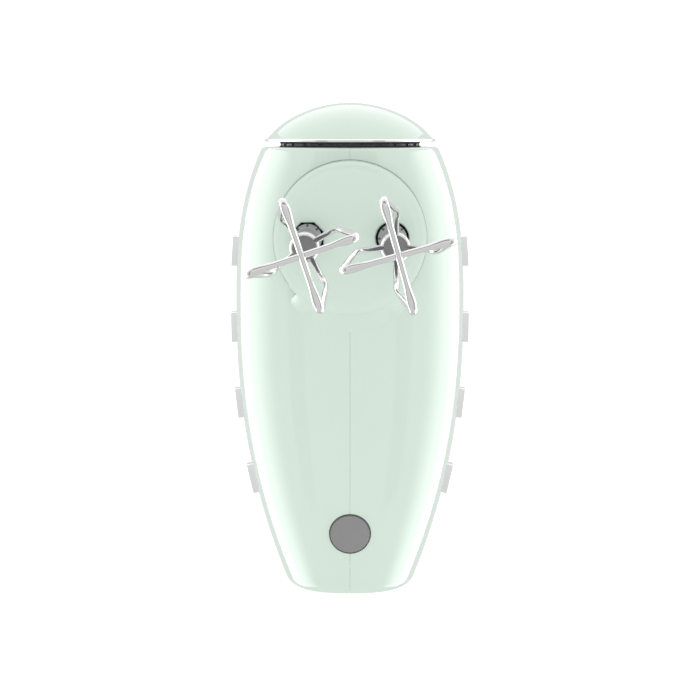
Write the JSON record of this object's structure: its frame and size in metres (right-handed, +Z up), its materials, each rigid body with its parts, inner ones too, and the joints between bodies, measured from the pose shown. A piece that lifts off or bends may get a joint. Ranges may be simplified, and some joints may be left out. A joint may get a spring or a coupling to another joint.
{
  "type": "hand mixer",
  "caption": "Electric hand mixer with a rounded clamshell body, loop handle, domed nose with a polished ring, and wire beaters on geared spindles.",
  "frame": {"origin": "centre of the flat foot under the heel, on the motor's axis; the mixer stands on its heel with its nose up", "axes": "+Z up along the motor's axis from heel to nose, -Y the way the beaters point, +Y towards the handle, +X to the right seen from the beaters' side"},
  "size_m": [0.0968, 0.2973, 0.1962],
  "materials": {
    "mint_plastic": "glossy mint ABS",
    "chrome": "polished chrome",
    "polished_steel": "polished stainless wire and rod",
    "ferrule_steel": "brushed stainless ferrule",
    "steel": "plain machined steel",
    "aluminium": "cast aluminium",
    "brass": "turned brass",
    "copper": "enamelled copper",
    "dark_plastic": "dark grey satin plastic",
    "black_gloss": "glossy black plastic",
    "display_glass": "smoked clear window",
    "display_face": "plain display face",
    "circuit_board": "green circuit board",
    "nylon": "natural nylon",
    "grey_plastic": "mid grey plastic",
    "grey_rubber": "mid grey rubber",
    "black_rubber": "dark rubber and felt",
    "carbon": "pressed carbon"
  },
  "bodies": {
    "housing": {"left_shell": "mint_plastic", "right_shell": "mint_plastic", "spindle_plate": "mint_plastic", "nose_cap": "mint_plastic", "nose_ring": "chrome", "nose_neck": "dark_plastic", "left_trim_bars": "chrome", "right_trim_bars": "chrome", "bowl_rest_pad": "grey_rubber", "heel_feet": "black_rubber", "control_panel": "black_gloss", "display_window": "display_glass", "display_module": "display_face", "control_board": "circuit_board", "tact_switches": "dark_plastic", "ejector_spring": "steel", "gearbox_frame": "aluminium", "spindle_bushes": "brass", "spindle_seals": "black_rubber", "worm_end_bush": "brass", "stator_core": "steel", "field_coils": "copper", "rear_bracket": "aluminium", "motor_bearings": "brass", "brush_holders": "brass", "carbon_brushes": "carbon", "brush_springs": "steel", "motor_screws": "steel", "shell_screws": "steel", "power_board": "circuit_board", "terminal_block": "nylon", "cord_gland": "black_rubber"},
    "rotor": {"motor_shaft": "steel", "worm": "steel", "armature_core": "steel", "armature_winding": "copper", "commutator": "copper", "cooling_fan": "nylon"},
    "left_spindle_body": {"left_spindle": "steel", "left_worm_wheel": "nylon"},
    "right_spindle_body": {"right_spindle": "steel", "right_worm_wheel": "nylon"},
    "left_pusher": {"left_ejector_pin": "brass"},
    "right_pusher": {"right_ejector_pin": "brass"},
    "left_beater": {"left_beater_shaft": "polished_steel", "left_drip_collar": "grey_plastic", "left_beater_ferrule": "ferrule_steel", "left_beater_wire_a": "polished_steel", "left_beater_wire_b": "polished_steel"},
    "right_beater": {"right_beater_shaft": "polished_steel", "right_drip_collar": "grey_plastic", "right_beater_ferrule": "ferrule_steel", "right_beater_wire_a": "polished_steel", "right_beater_wire_b": "polished_steel"},
    "ejector": {"eject_button": "chrome", "ejector_yoke": "steel"},
    "power_key": {"power_button": "chrome"},
    "turbo_key": {"turbo_button": "chrome"},
    "minus_key": {"minus_button": "chrome"},
    "plus_key": {"plus_button": "chrome"}
  },
  "joints": [
    {"name": "motor_spin", "type": "hinge", "parent": "housing", "child": "rotor", "pos_m": [0, 0, 0.09], "axis": [0, 0, 1], "continuous": true},
    {"name": "left_spindle_spin", "type": "hinge", "parent": "housing", "child": "left_spindle_body", "pos_m": [-0.01645, 0, 0.1435], "axis": [0, 1, 0], "continuous": true},
    {"name": "right_spindle_spin", "type": "hinge", "parent": "housing", "child": "right_spindle_body", "pos_m": [0.01645, 0, 0.1435], "axis": [0, 1, 0], "continuous": true},
    {"name": "eject_press", "type": "slide", "parent": "housing", "child": "ejector", "axis": [0, -1, 0], "range_m": [0, 0.006], "stiffness_N_per_m": 500, "springref_m": -0.004, "deforming": ["ejector_spring"]},
    {"name": "left_pusher_slide", "type": "slide", "parent": "left_spindle_body", "child": "left_pusher", "axis": [0, -1, 0], "range_m": [0, 0.006]},
    {"name": "right_pusher_slide", "type": "slide", "parent": "right_spindle_body", "child": "right_pusher", "axis": [0, -1, 0], "range_m": [0, 0.006]},
    {"name": "left_beater_pull", "type": "slide", "parent": "left_pusher", "child": "left_beater", "axis": [0, -1, 0], "range_m": [0, 0.055]},
    {"name": "right_beater_pull", "type": "slide", "parent": "right_pusher", "child": "right_beater", "axis": [0, -1, 0], "range_m": [0, 0.055]},
    {"name": "power_press", "type": "slide", "parent": "housing", "child": "power_key", "axis": [0, -1, 0], "range_m": [0, 0.0008], "stiffness_N_per_m": 1500, "springref_m": -0.0005},
    {"name": "turbo_press", "type": "slide", "parent": "housing", "child": "turbo_key", "axis": [0, -1, 0], "range_m": [0, 0.0008], "stiffness_N_per_m": 1500, "springref_m": -0.0005},
    {"name": "minus_press", "type": "slide", "parent": "housing", "child": "minus_key", "axis": [0, -1, 0], "range_m": [0, 0.0008], "stiffness_N_per_m": 1500, "springref_m": -0.0005},
    {"name": "plus_press", "type": "slide", "parent": "housing", "child": "plus_key", "axis": [0, -1, 0], "range_m": [0, 0.0008], "stiffness_N_per_m": 1500, "springref_m": -0.0005}
  ],
  "couplings": [
    {"joint": "left_spindle_spin", "follows": "motor_spin", "ratio": 0.043478},
    {"joint": "right_spindle_spin", "follows": "motor_spin", "ratio": -0.043478},
    {"joint": "left_pusher_slide", "follows": "eject_press", "ratio": 1},
    {"joint": "right_pusher_slide", "follows": "eject_press", "ratio": 1}
  ]
}
